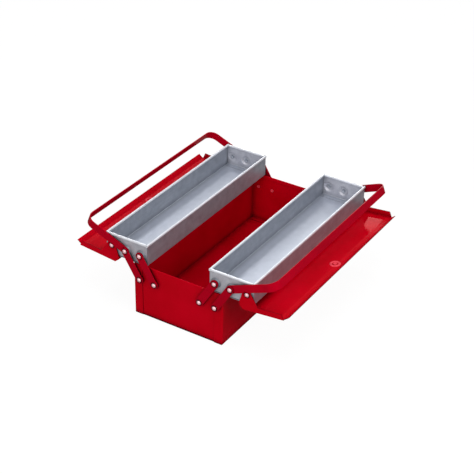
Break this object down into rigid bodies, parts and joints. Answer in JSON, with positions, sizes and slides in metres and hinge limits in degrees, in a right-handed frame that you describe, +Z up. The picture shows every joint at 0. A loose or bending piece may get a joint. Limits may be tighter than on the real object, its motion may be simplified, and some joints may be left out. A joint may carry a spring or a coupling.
{
  "type": "cantilever tool box",
  "caption": "Open cantilever tool box of folded red sheet steel: a deep bottom box, long trays that swing out on flat levers, folding lids and flat strap handles.",
  "frame": {"origin": "centre of the underside of the bottom box", "axes": "+X across the box towards the right tray, +Y along the box away from the front end wall, +Z up; the part stands on the underside of the bottom box"},
  "size_m": [0.474, 0.4466, 0.1792],
  "materials": {
    "red_enamel": "glossy red stove enamel",
    "lever_enamel": "glossy dark red stove enamel",
    "galvanised_steel": "satin zinc-plated sheet",
    "bright_steel": "bright zinc-plated steel"
  },
  "bodies": {
    "box": {"body_shell": "red_enamel", "front_end_panel": "red_enamel", "back_end_panel": "red_enamel", "body_pivot_rivets": "bright_steel", "body_pivot_spacers": "bright_steel"},
    "right_outer_levers": {"right_outer_lever_front": "lever_enamel", "right_outer_lever_back": "lever_enamel"},
    "right_inner_levers": {"right_inner_lever_front": "lever_enamel", "right_inner_lever_back": "lever_enamel"},
    "right_tray": {"right_tray_pan": "galvanised_steel", "right_tray_end_front": "galvanised_steel", "right_tray_end_back": "galvanised_steel", "right_tray_rivets": "bright_steel", "right_tray_spacers": "bright_steel", "right_lid_rivets": "bright_steel"},
    "right_lid": {"right_lid": "red_enamel", "lid_latch_rivet": "bright_steel"},
    "right_handle": {"right_handle": "lever_enamel"},
    "left_outer_levers": {"left_outer_lever_front": "lever_enamel", "left_outer_lever_back": "lever_enamel"},
    "left_inner_levers": {"left_inner_lever_front": "lever_enamel", "left_inner_lever_back": "lever_enamel"},
    "left_tray": {"left_tray_pan": "galvanised_steel", "left_tray_end_front": "galvanised_steel", "left_tray_end_back": "galvanised_steel", "left_tray_rivets": "bright_steel", "left_tray_spacers": "bright_steel", "left_lid_rivets": "bright_steel"},
    "left_lid": {"left_lid": "red_enamel", "lid_keeper": "bright_steel", "lid_keeper_rivet": "bright_steel"},
    "left_handle": {"left_handle": "lever_enamel"},
    "latch": {"lid_latch": "bright_steel"}
  },
  "joints": [
    {"name": "right_lever_swing", "type": "hinge", "parent": "box", "child": "right_outer_levers", "pos_m": [0.0845, 0, 0.081], "axis": [0, -1, 0], "range_deg": [0, 63.68]},
    {"name": "right_inner_lever_swing", "type": "hinge", "parent": "box", "child": "right_inner_levers", "pos_m": [0.0509, 0, 0.081], "axis": [0, -1, 0], "range_deg": [0, 63.68]},
    {"name": "right_tray_level", "type": "hinge", "parent": "right_outer_levers", "child": "right_tray", "pos_m": [0.1171, 0, 0.1335], "axis": [0, -1, 0], "range_deg": [-63.68, 0]},
    {"name": "right_lid_turn", "type": "hinge", "parent": "right_tray", "child": "right_lid", "pos_m": [0.15071, 0, 0.1335], "axis": [0, -1, 0], "range_deg": [0, 174.5]},
    {"name": "right_handle_turn", "type": "hinge", "parent": "right_tray", "child": "right_handle", "pos_m": [0.1171, 0, 0.1335], "axis": [0, -1, 0], "range_deg": [0, 93.18]},
    {"name": "left_lever_swing", "type": "hinge", "parent": "box", "child": "left_outer_levers", "pos_m": [-0.0845, 0, 0.081], "axis": [0, 1, 0], "range_deg": [0, 63.68]},
    {"name": "left_inner_lever_swing", "type": "hinge", "parent": "box", "child": "left_inner_levers", "pos_m": [-0.0509, 0, 0.081], "axis": [0, 1, 0], "range_deg": [0, 63.68]},
    {"name": "left_tray_level", "type": "hinge", "parent": "left_outer_levers", "child": "left_tray", "pos_m": [-0.1171, 0, 0.1335], "axis": [0, 1, 0], "range_deg": [-63.68, 0]},
    {"name": "left_lid_turn", "type": "hinge", "parent": "left_tray", "child": "left_lid", "pos_m": [-0.15071, 0, 0.1335], "axis": [0, 1, 0], "range_deg": [0, 174.5]},
    {"name": "left_handle_turn", "type": "hinge", "parent": "left_tray", "child": "left_handle", "pos_m": [-0.1171, 0, 0.1335], "axis": [0, 1, 0], "range_deg": [0, 93.18]},
    {"name": "latch_turn", "type": "hinge", "parent": "right_lid", "child": "latch", "pos_m": [0.21528, 0, 0.10451], "axis": [0.0958, 0, -0.9954], "range_deg": [0, 90]}
  ],
  "couplings": [
    {"joint": "right_inner_lever_swing", "follows": "right_lever_swing", "ratio": 1},
    {"joint": "right_tray_level", "follows": "right_lever_swing", "ratio": -1},
    {"joint": "right_lid_turn", "follows": "right_lever_swing", "ratio": 2.7402},
    {"joint": "right_handle_turn", "follows": "right_lever_swing", "ratio": 1.4632},
    {"joint": "left_inner_lever_swing", "follows": "left_lever_swing", "ratio": 1},
    {"joint": "left_tray_level", "follows": "left_lever_swing", "ratio": -1},
    {"joint": "left_lid_turn", "follows": "left_lever_swing", "ratio": 2.7402},
    {"joint": "left_handle_turn", "follows": "left_lever_swing", "ratio": 1.4632}
  ]
}
